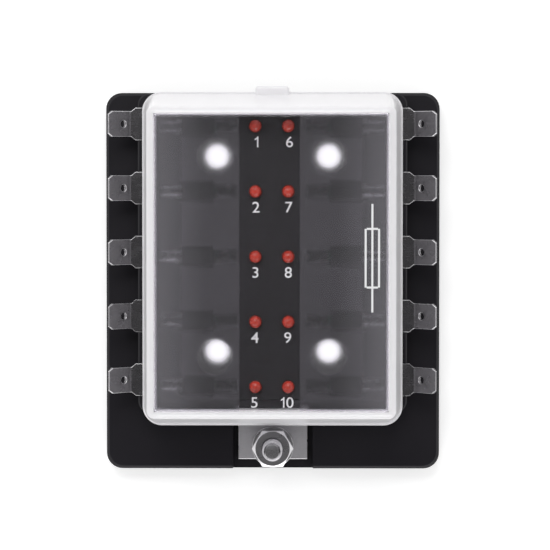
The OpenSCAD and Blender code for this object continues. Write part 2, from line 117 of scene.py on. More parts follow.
class CoverSizes(bpy.types.PropertyGroup):
    """Sizes of the frosted cover."""

    wall: length("Wall", "Thickness of the cover's walls and top", 1.65 * MM)
    edge_radius: length("Edge radius", "Radius along the top edge", 1.8 * MM)
    corner_radius: length("Corner radius", "Radius of the upright corners at the rim", 4.5 * MM)
    side_inset: length("Side inset", "Inset of the flat top from the rim on each side", 3.7 * MM)
    back_inset: length("Back inset", "Inset of the flat top from the rim at the back", 5.35 * MM)
    front_inset: length("Front inset", "Inset of the flat top from the rim at the front", 5.0 * MM)
    tab_width: length("Tab width", "Width of the thumb tab", 8.4 * MM)
    tab_reach: length("Tab reach", "Reach of the thumb tab past the rim", 1.75 * MM)
    tab_height: length("Tab height", "Thickness of the thumb tab", 2.4 * MM)
    tab_rise: length("Tab rise", "Height of the thumb tab above the rim", 2.0 * MM)
    strip_width: length("Strip width", "Width of the clear strip over the lamps", 14.5 * MM)
    strip_gap: length("Strip gap", "Gap on the flat top behind the clear strip", 0.45 * MM)
    strip_offset: length("Strip offset", "How far the strip sits left of the middle", 0.4 * MM)
    symbol_x: length("Symbol place", "Distance of the fuse sign from the middle", 24.2 * MM)
    symbol_width: length("Symbol width", "Width of the fuse sign", 3.2 * MM)
    symbol_length: length("Symbol length", "Length of the fuse sign with its leads", 26.0 * MM)
    symbol_stroke: length("Symbol stroke", "Line width of the fuse sign", 0.5 * MM)
    foot_reach: length("Foot reach", "How far the foot stands out around the rim", 0.35 * MM)
    foot_height: length("Foot height", "Height of the foot around the rim", 1.2 * MM)


class LampSizes(bpy.types.PropertyGroup):
    """Sizes of the lamps and of the numbers beside them."""

    lens_height: length("Lens height", "Height of a lamp's lens with its flange", 5.2 * MM)
    flange_height: length("Flange height", "Thickness of the flange of a lamp", 1.0 * MM)
    flange_reach: length("Flange reach", "How far the flange stands out past the lens", 0.4 * MM)
    digit_height: length("Digit height", "Height of the circuit numbers", 2.62 * MM)
    digit_drop: length("Digit drop", "Distance from a lamp to the middle of its number", 3.85 * MM)
    digit_shift: length("Digit shift", "How far the numbers sit right of their lamps", 0.3 * MM)
    digit_drift: length("Digit drift", "Shift to the left from each row to the next", 0.14 * MM)
    digit_relief: length("Digit relief", "Thickness of the printed ink", 0.03 * MM)


class RailSizes(bpy.types.PropertyGroup):
    """Sizes of the lip that carries the last two numbers."""

    ridge_end: length("Ridge end", "Distance from the middle to the front of the ridge", 35.35 * MM)
    rail_reach: length("Rail reach", "How far the lip stands out of the ridge", 1.75 * MM)
    rail_depth: length("Rail depth", "Height of the lip", 1.6 * MM)
    rail_half: length("Rail half width", "Half the width of the lip", 7.6 * MM)
    rail_offset: length("Rail offset", "How far the lip sits left of the middle", 0.4 * MM)


class FeedSizes(bpy.types.PropertyGroup):
    """Sizes of the stud's thread and of the nut."""

    pitch: length("Pitch", "Pitch of the thread", 0.8 * MM)
    depth: length("Depth", "Depth of the thread", 0.45 * MM)
    nut_bore: length("Nut bore", "Diameter of the nut's bore", 5.1 * MM)
    nut_lead: length("Nut lead-in", "Chamfer at the mouth of the nut's bore", 0.25 * MM)
    nut_face: share("Nut face", "Diameter of the nut's flat face as a share of its width", 0.95)


class FinishColours(bpy.types.PropertyGroup):
    """Colours of the surfaces."""

    nylon: colour("Nylon", "Black moulded nylon", (0.0085, 0.0074, 0.0105))
    carrier: colour("Carrier", "Black nylon of the fuse carrier", (0.0135, 0.0118, 0.0145))
    frost: colour("Frost", "Scattered light of the frosted top", (0.9, 0.88, 0.94))
    milk: colour("Milk", "Walls and edges of the cover", (0.9, 0.89, 0.91))
    # Tin and busbar tin are one plating in two copies: painted shade makes the spade copy darker,
    # and painted light makes the busbar copy lighter.
    tin: colour("Tin", "Tin plating on the spade terminals", (0.185, 0.18, 0.19))
    bar_tin: colour("Busbar tin, painted lighter", "Tin plating on the busbar", (0.56, 0.548, 0.572))
    # Painted highlight: a light copy of the plated metal for bevelled edges and the nut's chamfer,
    # in place of glints of light.
    edge: colour("Edge", "Bright edges of stamped and cut metal", (0.78, 0.77, 0.79))
    zinc: colour("Zinc", "Zinc plating on the steel", (0.47, 0.46, 0.48))
    lens: colour("Lens", "Red lens of a lamp", (0.8, 0.06, 0.032))
    ink: colour("Ink", "White ink of the circuit numbers", (0.78, 0.78, 0.79))
    board: colour("Board", "Solder mask of the circuit board", (0.02, 0.11, 0.05))
    frost_clarity: share("Frost clarity", "Share of light that the frosted top lets through", 0.983)
    milk_clarity: share("Milk clarity", "Share of light that the walls let through", 0.2)
    # Painted light: strength of the glow that is painted on the two sides of the flat top.
    side_glow: share("Side glow", "Light that the top scatters at its two sides", 0.042)


class StageSettings(bpy.types.PropertyGroup):
    """Camera and light."""

    eye: bpy.props.FloatVectorProperty(
        name="Eye", description="Place of the camera", default=(0.00883, 0.02183, 0.70844),
        subtype="TRANSLATION", unit="LENGTH"
    )
    aim: bpy.props.FloatVectorProperty(
        name="Aim", description="Point that the camera looks at", default=(0.00048, -0.00545, 0.0),
        subtype="TRANSLATION", unit="LENGTH"
    )
    lens: bpy.props.FloatProperty(
        name="Lens", description="Focal length in millimetres", default=183.81, min=1.0
    )
    key_power: amount("Key power", "Power of the soft key light", 2.5, unit="POWER")
    front_power: amount("Front power", "Power of the light before the block", 1.6, unit="POWER")
    fill_level: amount("Fill level", "Strength of the sky near the horizon", 1.35)
    zenith_level: amount("Zenith level", "Strength of the sky overhead", 0.18)
    floor_glow: amount("Floor glow", "Glow of the floor that the camera and mirrors see", 0.46)
    floor_glow_under: amount("Covered floor glow", "Glow of the floor seen through the cover", 1.3)


# Shader nodes

NOISE = "ShaderNodeTexNoise"
SURFACE_OUTPUTS = {
    "Colour": "NodeSocketColor", "Roughness": "NodeSocketFloat", "Height": "NodeSocketFloat"
}
MIX_COLOUR_A, MIX_COLOUR_B, MIX_COLOUR_RESULT = 6, 7, 2


def add_node(tree, kind, place=(0, 0), **values):
    """Adds a node; a value named as a socket sets that socket, and any other an attribute."""
    node = tree.nodes.new(kind)
    node.location = place
    for name, value in values.items():
        socket = name.replace("_", " ")
        match = next((s for s in node.inputs if s.name.lower() == socket.lower()), None)
        if match is not None and not hasattr(node, name):
            match.default_value = value
        else:
            setattr(node, name, value)
    return node


def socket_kind(value):
    return "NodeSocketColor" if isinstance(value, tuple) else "NodeSocketFloat"


def new_group(name, inputs, outputs):
    """A shader node group with named inputs and outputs, and its two end nodes."""
    group = bpy.data.node_groups.new(name, "ShaderNodeTree")
    for label, default in inputs.items():
        kind = "NodeSocketVector" if default is None else socket_kind(default)
        socket = group.interface.new_socket(name=label, in_out="INPUT", socket_type=kind)
        if default is not None:
            socket.default_value = default
    for label, kind in outputs.items():
        group.interface.new_socket(name=label, in_out="OUTPUT", socket_type=kind)
    start = add_node(group, "NodeGroupInput", (-900, 0))
    end = add_node(group, "NodeGroupOutput", (500, 0))
    return group, start.outputs, end.inputs


def set_or_link(tree, socket, value):
    """Links a socket to another node's output, or sets its value."""
    if isinstance(value, bpy.types.NodeSocket):
        tree.links.new(value, socket)
    else:
        socket.default_value = value


def math_node(tree, operation, values, place, **more):
    """Output of a math node; each value is a number or another node's output."""
    node = add_node(tree, "ShaderNodeMath", place, operation=operation, **more)
    for socket, value in zip(node.inputs, values, strict=False):
        set_or_link(tree, socket, value)
    return node.outputs[0]


def map_range(tree, value, source, target, place, **more):
    """Output of a node that maps a value from one range to another."""
    node = add_node(tree, "ShaderNodeMapRange", place, **more)
    labels = ("Value", "From Min", "From Max", "To Min", "To Max")
    for label, given in zip(labels, (value, *source, *target), strict=True):
        set_or_link(tree, node.inputs[label], given)
    return node.outputs[0]


def texture(tree, kind, vector, place, **values):
    """A texture or mapping node that reads its place from another node's output."""
    node = add_node(tree, kind, place, **values)
    tree.links.new(vector, node.inputs["Vector"])
    return node


def shaded(tree, tone, factor, place):
    """Output of a node that multiplies a colour by a factor."""
    node = add_node(tree, "ShaderNodeVectorMath", place, operation="SCALE")
    tree.links.new(tone, node.inputs[0])
    tree.links.new(factor, node.inputs["Scale"])
    return node.outputs[0]


def give(tree, result, colour, roughness, height):
    """Links the three outputs that every surface group has."""
    tree.links.new(colour, result["Colour"])
    tree.links.new(roughness, result["Roughness"])
    tree.links.new(height, result["Height"])


def moulded_grain_group():
    """Fine spark texture of a moulding, with slow changes of gloss from flow in the tool."""
    group, given, result = new_group(
        "Moulded grain",
        {"Vector": None, "Colour": (0.5, 0.5, 0.5, 1.0), "Grain scale": 3200.0,
         "Roughness": 0.45, "Spread": 0.08, "Shade": 0.25},
        SURFACE_OUTPUTS,
    )
    grain = texture(group, NOISE, given["Vector"], (-650, 200), Detail=3.0, Roughness=0.6)
    group.links.new(given["Grain scale"], grain.inputs["Scale"])
    flow = texture(group, NOISE, given["Vector"], (-650, -150), Scale=55.0, Detail=4.0)
    centred = math_node(group, "SUBTRACT", (flow.outputs["Fac"], 0.5), (-400, -150))
    rough = math_node(
        group, "MULTIPLY_ADD", (centred, given["Spread"], given["Roughness"]), (-200, -150)
    )
    shade = math_node(group, "MULTIPLY_ADD", (centred, given["Shade"], 1.0), (-200, 60))
    tint = shaded(group, given["Colour"], shade, (50, 100))
    give(group, result, tint, rough, grain.outputs["Fac"])
    return group


def plating_group():
    """Bright plating with rolled streaks, small pits and dull patches from handling."""
    group, given, result = new_group(
        "Plating",
        {"Vector": None, "Colour": (0.5, 0.5, 0.5, 1.0), "Roughness": 0.3,
         "Streak": 0.12, "Patch": 0.18, "Pits": 0.35},
        SURFACE_OUTPUTS,
    )
    stretch = texture(group, "ShaderNodeMapping", given["Vector"], (-700, 250))
    stretch.inputs["Scale"].default_value = (250.0, 5200.0, 900.0)
    streaks = texture(group, NOISE, stretch.outputs[0], (-500, 250), Scale=1.0, Detail=3.0)
    patches = texture(group, NOISE, given["Vector"], (-500, 0), Scale=420.0, Detail=5.0)
    dots = texture(group, "ShaderNodeTexVoronoi", given["Vector"], (-500, -250), Scale=1500.0)
    pit_mask = map_range(group, dots.outputs["Distance"], (0.05, 0.16), (1.0, 0.0), (-300, -250))
    pits = math_node(group, "MULTIPLY", (pit_mask, given["Pits"]), (50, -250))
    swings = []
    for source, amount, y in ((streaks, "Streak", 250), (patches, "Patch", 50)):
        centred = math_node(group, "SUBTRACT", (source.outputs["Fac"], 0.5), (-300, y))
        swings.append(math_node(group, "MULTIPLY", (centred, given[amount]), (-150, y)))
    both = math_node(group, "ADD", swings, (50, 150))
    rough = math_node(group, "ADD", (both, given["Roughness"]), (200, 50), use_clamp=True)
    dull = math_node(group, "ADD", (both, pits), (200, -150))
    shade = math_node(group, "SUBTRACT", (1.0, dull), (350, -150))
    tint = shaded(group, given["Colour"], shade, (350, 150))
    height = math_node(group, "SUBTRACT", (streaks.outputs["Fac"], pits), (350, -300))
    give(group, result, tint, rough, height)
    return group


def shared_group(name, make):
    return bpy.data.node_groups.get(name) or make()


def surface(name, group_name, make_group, values, bump, bump_depth, **shader):
    """A Principled material that takes its colour, roughness and bump from a node group."""
    known = bpy.data.materials.get(name)
    if known:
        return known
    material = bpy.data.materials.new(name)
    material.use_nodes = True
    tree = material.node_tree
    bsdf = tree.nodes["Principled BSDF"]
    coords = add_node(tree, "ShaderNodeTexCoord", (-800, 0), name="Object place")
    group = add_node(tree, "ShaderNodeGroup", (-500, 0))
    group.node_tree = shared_group(group_name, make_group)
    for label, value in values.items():
        group.inputs[label].default_value = value
    relief = add_node(tree, "ShaderNodeBump", (-250, -250), Strength=bump, Distance=bump_depth)
    tree.links.new(coords.outputs["Object"], group.inputs["Vector"])
    tree.links.new(group.outputs["Colour"], bsdf.inputs["Base Color"])
    tree.links.new(group.outputs["Roughness"], bsdf.inputs["Roughness"])
    tree.links.new(group.outputs["Height"], relief.inputs["Height"])
    tree.links.new(relief.outputs["Normal"], bsdf.inputs["Normal"])
    for label, value in shader.items():
        bsdf.inputs[label.replace("_", " ")].default_value = value
    return material


def lets_light_in(material, share_in):
    """Lets part of the light through to what the clear moulding covers."""
    tree = material.node_tree
    if tree.nodes.get("Light let in"):
        return material
    path = add_node(tree, "ShaderNodeLightPath", (200, 400))
    amount = math_node(tree, "MULTIPLY", (path.outputs["Is Shadow Ray"], share_in), (400, 400),
                       name="Light let in")
    open_air = add_node(tree, "ShaderNodeBsdfTransparent", (400, -100))
    both = add_node(tree, "ShaderNodeMixShader", (600, 100))
    tree.links.new(amount, both.inputs["Fac"])
    tree.links.new(tree.nodes["Principled BSDF"].outputs[0], both.inputs[1])
    tree.links.new(open_air.outputs[0], both.inputs[2])
    tree.links.new(both.outputs[0], tree.nodes["Material Output"].inputs["Surface"])
    return material


def colours():
    return bpy.context.scene.fuse_block_finish


def with_alpha(value):
    return (*value, 1.0)


def moulded(name, tone, *, grain, roughness, spread, shade, bump, depth, **shader):
    """A moulded, printed or lacquered surface; the depth of its bump is in millimetres."""
    return surface(
        name, "Moulded grain", moulded_grain_group,
        {"Colour": with_alpha(tone), "Grain scale": grain, "Roughness": roughness,
         "Spread": spread, "Shade": shade},
        bump=bump, bump_depth=depth * MM, **shader,
    )


def plated(name, tone, *, roughness, streak, patch, pits, bump):
    """A metal surface."""
    return surface(
        name, "Plating", plating_group,
        {"Colour": with_alpha(tone), "Roughness": roughness, "Streak": streak,
         "Patch": patch, "Pits": pits},
        bump=bump, bump_depth=0.01 * MM, Metallic=1.0,
    )


def nylon_material(name, tone):
    return moulded(name, tone, grain=2600.0, roughness=0.46, spread=0.12, shade=0.35,
                   bump=0.22, depth=0.02, Specular_IOR_Level=0.25)


def side_haze_group():
    """Painted light: a glow colour for the cover's top that grows from its middle towards its two
    sides.
    """
    group, given, result = new_group(
        "Painted side light",
        {"Vector": None, "Middle": (0.0, 0.0, 0.0, 1.0), "Side": (0.1, 0.1, 0.1, 1.0),
         "Near": 16.0 * MM, "Far": 29.0 * MM},
        {"Colour": "NodeSocketColor"},
    )
    parts = add_node(group, "ShaderNodeSeparateXYZ", (-650, 0))
    group.links.new(given["Vector"], parts.inputs[0])
    reach = math_node(group, "ABSOLUTE", (parts.outputs["X"],), (-450, 0))
    along = map_range(group, reach, (given["Near"], given["Far"]), (0.0, 1.0), (-250, 0))
    mix = add_node(group, "ShaderNodeMix", (0, 0), data_type="RGBA")
    group.links.new(along, mix.inputs["Factor"])
    group.links.new(given["Middle"], mix.inputs[MIX_COLOUR_A])
    group.links.new(given["Side"], mix.inputs[MIX_COLOUR_B])
    group.links.new(mix.outputs[MIX_COLOUR_RESULT], result["Colour"])
    return group


def frost_material():
    look = colours()
    material = lets_light_in(moulded(
        "frosted polycarbonate", look.frost, grain=1800.0, roughness=0.17, spread=0.03,
        shade=0.05, bump=0.0, depth=0.005, Transmission_Weight=look.frost_clarity, IOR=1.45,
        Emission_Strength=1.0,
    ), share_in=0.95)
    tree = material.node_tree
    # Painted light: the top glows with a colour that grows towards its sides, where light through
    # the walls would fall.
    painted_glow_node = add_node(tree, "ShaderNodeGroup", (-500, -500))
    painted_glow_node.node_tree = shared_group("Painted side light", side_haze_group)
    painted_glow_node.inputs["Side"].default_value = with_alpha([value * look.side_glow for value in look.frost])
    tree.links.new(tree.nodes["Object place"].outputs["Object"], painted_glow_node.inputs["Vector"])
    tree.links.new(painted_glow_node.outputs["Colour"], tree.nodes["Principled BSDF"].inputs["Emission Color"])
    return material


def milk_material():
    return lets_light_in(moulded(
        "milky polycarbonate", colours().milk, grain=1500.0, roughness=0.32, spread=0.05,
        shade=0.04, bump=0.03, depth=0.01, Transmission_Weight=colours().milk_clarity,
        IOR=1.45, Coat_Weight=0.3,
    ), share_in=0.4)


def clear_material():
    return lets_light_in(moulded(
        "clear polycarbonate", (0.97, 0.97, 0.98), grain=700.0, roughness=0.03, spread=0.01,
        shade=0.0, bump=0.01, depth=0.005, Transmission_Weight=1.0, IOR=1.45,
    ), share_in=0.92)


# The darker copy of the tin plating: painted shade on the spades, clips and lamp frames.
def tin_material():
    return plated("tinned brass", colours().tin, roughness=0.26, streak=0.07, patch=0.2,
                  pits=0.3, bump=0.04)


# The lighter copy of the tin plating: painted light on the flat busbar.
def busbar_material():
    return plated("tinned busbar, painted lighter", colours().bar_tin, roughness=0.5, streak=0.07, patch=0.2,
                  pits=0.3, bump=0.04)


def zinc_material():
    return plated("zinc-plated steel", colours().zinc, roughness=0.3, streak=0.06, patch=0.22,
                  pits=0.4, bump=0.12)


# Painted highlight on bevels and chamfers: a light copy of the plating.
def bright_edge_material():
    return plated("painted edge highlight", colours().edge, roughness=0.3, streak=0.05, patch=0.25,
                  pits=0.2, bump=0.05)


def lens_material():
    return moulded("red lens", colours().lens, grain=900.0, roughness=0.05, spread=0.03,
                   shade=0.1, bump=0.02, depth=0.01, Transmission_Weight=0.5, IOR=1.5,
                   Coat_Weight=0.3)


def ink_material():
    return moulded("white ink", colours().ink, grain=2400.0, roughness=0.55, spread=0.05,
                   shade=0.06, bump=0.08, depth=0.01)


def board_material():
    return moulded("solder mask", colours().board, grain=900.0, roughness=0.3, spread=0.08,
                   shade=0.3, bump=0.06, depth=0.02)


def resistor_material():
    return moulded("resistor coat", (0.55, 0.4, 0.23), grain=1500.0, roughness=0.4,
                   spread=0.08, shade=0.3, bump=0.1, depth=0.02)


# Mesh making

# Material slots of metal pieces: the plain plating, and a light copy that paints the highlight on
# edges.
PLAIN, HIGHLIGHT_SLOT = 0, 1
SHARP_EDGE = math.radians(32)
WELD = 0.001 * MM


def finish_piece(mesh_maker, name, body, materials, replaced=(), smooth=40.0):
    """Turns a bmesh into a piece that rides on a body, with its place in its mesh."""
    mesh = bpy.data.meshes.new(name)
    mesh_maker.to_mesh(mesh)
    mesh_maker.free()
    for material in materials:
        mesh.materials.append(material)
    piece = bpy.data.objects.new(name, mesh)
    bpy.context.scene.collection.objects.link(piece)
    mesh.shade_smooth()
    mesh.set_sharp_from_angle(angle=math.radians(smooth))
    even = piece.modifiers.new("flat faces shade flat", "WEIGHTED_NORMAL")
    even.keep_sharp = True
    even.weight = 50
    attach(piece, body)
    if replaced:
        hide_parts(*replaced)
    return piece


def dress(node, material):
    """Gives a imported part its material."""
    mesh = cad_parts[node].data
    mesh.materials.clear()
    mesh.materials.append(material)


def merged_copy(node):
    """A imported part's mesh with its loose triangles merged and its flat faces joined."""
    bm = bmesh.new()
    bm.from_mesh(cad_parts[node].data)
    bmesh.ops.remove_doubles(bm, verts=bm.verts, dist=WELD)
    bmesh.ops.dissolve_limit(
        bm, angle_limit=math.radians(0.5), verts=bm.verts, edges=bm.edges
    )
    return bm


def round_edges(bm, edges, radius, segments, material=-1, **more):
    bmesh.ops.bevel(
        bm, geom=edges, offset=radius, affect="EDGES", segments=segments, profile=0.5,
        material=material, **more
    )


def bar(low_corner, high_corner):
    """A box between two corners."""
    bm = bmesh.new()
    bmesh.ops.create_cube(bm, size=1.0)
    size = Vector(high_corner) - Vector(low_corner)
    bmesh.ops.scale(bm, vec=size, verts=bm.verts)
    bmesh.ops.translate(bm, vec=Vector(low_corner) + size / 2, verts=bm.verts)
    return bm


def square_post(x, y, bottom, top, width, radius):
    """An upright bar with soft edges."""
    half = width / 2
    bm = bar((x - half, y - half, bottom), (x + half, y + half, top))
    round_edges(bm, bm.edges[:], radius, 2)
    return bm


def softened_copy(node, name, body, material, width):
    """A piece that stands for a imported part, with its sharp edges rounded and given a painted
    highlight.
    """
    bm = merged_copy(node)
    sharp = [e for e in bm.edges if e.is_manifold and e.calc_face_angle(0.0) > SHARP_EDGE]
    # The rounded edges take the painted highlight.
    round_edges(bm, sharp, width, 2, material=HIGHLIGHT_SLOT, clamp_overlap=True)
    bmesh.ops.triangulate(bm, faces=[f for f in bm.faces if len(f.verts) > 4])
    return finish_piece(
        bm, name, body, [material, bright_edge_material()], replaced=(node,), smooth=45.0
    )


def spun(profile, centre, steps=48):
    """A closed turned shape from its (radius, height) profile, both in metres."""
    bm = bmesh.new()
    verts = [bm.verts.new(Vector((centre.x + r, centre.y, z))) for r, z in profile]
    edges = [bm.edges.new(pair) for pair in zip(verts, verts[1:], strict=False)]
    bmesh.ops.spin(
        bm, geom=verts + edges, cent=centre, axis=UP, angle=math.tau,
        steps=steps, use_merge=True, use_duplicate=False
    )
    bmesh.ops.remove_doubles(bm, verts=bm.verts, dist=WELD)
    bmesh.ops.recalc_face_normals(bm, faces=bm.faces)
    return bm


def merge_into(target, source):
    """Adds one bmesh to another and frees it."""
    mesh = bpy.data.meshes.new("part")
    source.to_mesh(mesh)
    source.free()
    target.from_mesh(mesh)
    bpy.data.meshes.remove(mesh)


def rounded_ring(bm, half_width, front, back, radius, z, steps=64):
    """A loop in the form of a rounded rectangle: a circle whose quarters are moved apart."""
    ring = bmesh.ops.create_circle(bm, segments=steps, radius=radius)["verts"]
    turn = Matrix.Rotation(math.pi / steps, 3, "Z")
    bmesh.ops.rotate(bm, verts=ring, cent=(0, 0, 0), matrix=turn)
    quarters = [
        (side, end, reach, [v for v in ring if v.co.x * side > 0 and v.co.y * end > 0])
        for side in (-1, 1) for end, reach in ((-1, front), (1, back))
    ]
    for side, end, reach, corner in quarters:
        shift = (side * (half_width - radius), end * (reach - radius), z)
        bmesh.ops.translate(bm, verts=corner, vec=shift)
    return ring


def loft(bm, rings):
    """Skins a stack of rings that all start at the same corner."""
    for first, second in zip(rings, rings[1:], strict=False):
        for k in range(len(first)):
            bm.faces.new((first[k - 1], first[k], second[k], second[k - 1]))


# Cover: sizes that a user would not change; the body of the sign is a share of its length

FROST, MILK, CLEAR = 0, 1, 2
WALL_RISES = (0.0, 0.02, 0.25, 0.5, 0.75, 0.98, 1.0)
SMALLEST_RADIUS = 0.05 * MM
FLAT_MARGIN = 0.12 * MM
FOOT_SOFTNESS = 0.3
CUT_DEPTH = 1.2 * MM
CUT_SLACK = 0.0001 * MM
TAB_ROOT = 1.2 * MM
TAB_SOFTNESS = 0.8 * MM
SYMBOL_BODY = 0.27
SYMBOL_RELIEF = 0.02 * MM


def cover_ring(bm, sizes, shrink, share_up, z, bulge=0.0):
    """One ring of the wall; share_up is 0 at the rim and 1 where the edge radius starts."""
    lo, hi = low("cover"), high("cover")
    rim_radius, edge_radius = (r - shrink / 2 for r in (sizes.corner_radius, sizes.edge_radius))
    radius = rim_radius + (edge_radius - rim_radius) * share_up
    limits = (
        (hi.x - sizes.foot_reach, sizes.side_inset),
        (-lo.y - sizes.foot_reach, sizes.front_inset),
        (hi.y - sizes.tab_reach, sizes.back_inset),
    )
    side, front, back = (
        full - shrink - (inset - sizes.edge_radius) * share_up + bulge for full, inset in limits
    )
    return rounded_ring(bm, side, front, back, max(radius + bulge, SMALLEST_RADIUS), z)


def cover_skin(bm, sizes, shrink, top, arc_steps, foot=False):
    """Rings of one skin of the cover, from the rim up over the rounded edge to the flat top."""
    rim_z = low("cover").z
    edge_radius = sizes.edge_radius - shrink / 2
    turn_z = top - edge_radius
    rings = []
    if foot:
        reach, height = sizes.foot_reach, sizes.foot_height
        soft = reach * FOOT_SOFTNESS
        steps = ((reach - soft, 0), (reach, soft), (reach, height - soft), (reach - soft, height))
        rings += [cover_ring(bm, sizes, shrink, 0.0, rim_z + up, out) for out, up in steps]
        rim_z += height
    rings += [
        cover_ring(bm, sizes, shrink, rise, rim_z + (turn_z - rim_z) * rise) for rise in WALL_RISES
    ]
    for step in range(1, arc_steps + 1):
        angle = math.pi / 2 * step / arc_steps
        z = turn_z + edge_radius * math.sin(angle)
        rings.append(cover_ring(bm, sizes, shrink, 1.0, z, -edge_radius * (1 - math.cos(angle))))
    rings.append(cover_ring(bm, sizes, shrink, 1.0, top, -edge_radius - FLAT_MARGIN))
    loft(bm, rings)
    return rings


def split_strip(bm, sizes):
    """Cuts both skins along the flat top and the clear strip, and gives each field its material."""
    lo, hi = low("cover"), high("cover")
    side = (hi.x - lo.x) / 2 - sizes.foot_reach - sizes.side_inset
    back = hi.y - sizes.tab_reach - sizes.back_inset
    front = lo.y + sizes.foot_reach + sizes.front_inset
    strip_back = back - sizes.strip_gap
    west, east = (-sizes.strip_offset + turn * sizes.strip_width / 2 for turn in (-1, 1))
    under = hi.z - sizes.wall - CUT_DEPTH

    def upper():
        return [f for f in bm.faces if f.calc_center_median().z > under]

    cuts = [((x, 0, 0), (1, 0, 0)) for x in (-side, west, east, side)]
    cuts += [((0, y, 0), (0, 1, 0)) for y in (front, strip_back, back)]
    for point, normal in cuts:
        faces = upper()
        edges = dict.fromkeys(e for f in faces for e in f.edges)
        verts = dict.fromkeys(v for f in faces for v in f.verts)
        bmesh.ops.bisect_plane(
            bm, geom=[*faces, *edges, *verts], plane_co=point, plane_no=normal, dist=CUT_SLACK
        )
    for face in upper():
        place = face.calc_center_median()
        if abs(place.x) < side and front < place.y < back:
            clear = west < place.x < east and place.y < strip_back
            face.material_index = CLEAR if clear else FROST


def cover_bmesh(sizes):
    bm = bmesh.new()
    top = high("cover").z
    outer = cover_skin(bm, sizes, 0.0, top, 8, foot=True)
    inner = cover_skin(bm, sizes, sizes.wall, top - sizes.wall, 6)
    loft(bm, [outer[0], inner[0]])
    for rings in (outer, inner):
        bm.faces.new(rings[-1])
    for face in bm.faces:
        face.material_index = MILK
    bmesh.ops.recalc_face_normals(bm, faces=bm.faces)
    split_strip(bm, sizes)
    return bm


def tab_bmesh(sizes):
    """The thumb tab: a bar with soft edges that grows out of the back wall."""
    back = high("cover").y
    depth = sizes.tab_reach + TAB_ROOT
    half, under = sizes.tab_width / 2, low("cover").z + sizes.tab_rise
    bm = bar((-half, back - depth, under), (half, back, under + sizes.tab_height))
    outer = [e for e in bm.edges if all(v.co.y > back - depth / 2 for v in e.verts)]
    sides = [e for e in bm.edges if abs(e.verts[0].co.y - e.verts[1].co.y) > depth / 2]
    round_edges(bm, list(dict.fromkeys([*outer, *sides])), TAB_SOFTNESS, 5)
    return bm


def fuse_symbol_bmesh(sizes):
    """The plain drawing sign of a fuse: a long box with its conductor through it."""
    half, stroke = sizes.symbol_width / 2, sizes.symbol_stroke / 2
    reach, body = sizes.symbol_length / 2, sizes.symbol_length * SYMBOL_BODY
    spans = []
    for side in (-1, 1):
        spans.append((side * half - stroke, -body, side * half + stroke, body))
        spans.append((-half + stroke, side * body - stroke, half - stroke, side * body + stroke))
    for start, end in ((-reach, -body - stroke), (-body + stroke, body - stroke),
                       (body + stroke, reach)):
        spans.append((-stroke, start, stroke, end))
    bm = bmesh.new()
    x, z = sizes.symbol_x, high("cover").z
    for west, south, east, north in spans:
        merge_into(bm, bar((x + west, south, z), (x + east, north, z + SYMBOL_RELIEF)))
    return bm


# Lamps and numbers: the cup's profile is in millimetres, the figures in units of their height

LAMP_SOFTNESS = 0.1 * MM
LENS_DRAFT = 0.03 * MM
LENS_TAPER = 1.5 * MM
CUP_PROFILE = ((0, 0.9), (0.45, 0.9), (0.62, 1.25), (0.54, 1.25), (0.3, 1.05), (0, 1.05))
CUP_OFFSET = 0.35 * MM
POST_SPREAD = 0.8 * MM
POST_WIDTH = 0.42 * MM
POST_SOFTNESS = 0.06 * MM
POST_ENDS = (0.06 * MM, 0.98 * MM)
LEAD_SPREAD = 1.27 * MM
LEAD_WIDTH = 0.5 * MM
LEAD_SOFTNESS = 0.08 * MM
FIGURE_ONE = (
    (0.25, 0), (0.38, 0), (0.38, 1), (0.29, 1), (0.21, 0.88), (0.04, 0.78), (0.04, 0.65),
    (0.25, 0.75)
)
FIGURE_BOLDNESS = 0.004
FIGURE_STRETCH = 1.06
FIGURE_GAP = 0.17
RAIL_ROOT = 0.3 * MM
RAIL_DROP = 0.002 * MM
RAIL_SOFTNESS = 0.2 * MM


def lamp_bmesh(circuit, sizes):
    """Lens of a lamp with its flange and round top; also its middle and the height it starts at."""
    node = f"led_{circuit}"
    lo, hi = low(node), high(node)
    rim = (hi.x - lo.x) / 2
    radius = rim - sizes.flange_reach
    base = hi.z - sizes.lens_height
    flange_top = base + sizes.flange_height
    dome = hi.z - radius
    profile = [
        (0, base), (rim - LAMP_SOFTNESS, base), (rim, base + LAMP_SOFTNESS),
        (rim, flange_top - LAMP_SOFTNESS), (rim - LAMP_SOFTNESS, flange_top),
        (radius + LENS_DRAFT, flange_top), (radius, dome - LENS_TAPER)
    ]
    profile += [
        (radius * math.cos(math.radians(a)), dome + radius * math.sin(math.radians(a)))
        for a in range(0, 90, 9)
    ]
    profile += [(0, hi.z)]
    centre = middle(node)
    return spun(profile, centre, steps=40), centre, base


def lamp_inside_bmesh(centre, base):
    """Lead frame inside a lens: a small cup over one of two posts."""
    cup = [(r * MM, base + z * MM) for r, z in CUP_PROFILE]
    bm = spun(cup, centre - Vector((CUP_OFFSET, 0, 0)), 24)
    bottom, top = (base + end for end in POST_ENDS)
    for x in (centre.x - POST_SPREAD, centre.x + POST_SPREAD):
        merge_into(bm, square_post(x, centre.y, bottom, top, POST_WIDTH, POST_SOFTNESS))
    return bm


def lamp_lead_bmesh(circuit, centre, base):
    """The two leads that stand on the board."""
    bm = bmesh.new()
    bottom = low(f"led_{circuit}").z
    for x in (centre.x - LEAD_SPREAD, centre.x + LEAD_SPREAD):
        merge_into(bm, square_post(x, centre.y, bottom, base, LEAD_WIDTH, LEAD_SOFTNESS))
    return bm


def extent(bm):
    lo = Vector([min(v.co[i] for v in bm.verts) for i in range(3)])
    hi = Vector([max(v.co[i] for v in bm.verts) for i in range(3)])
    return lo, hi


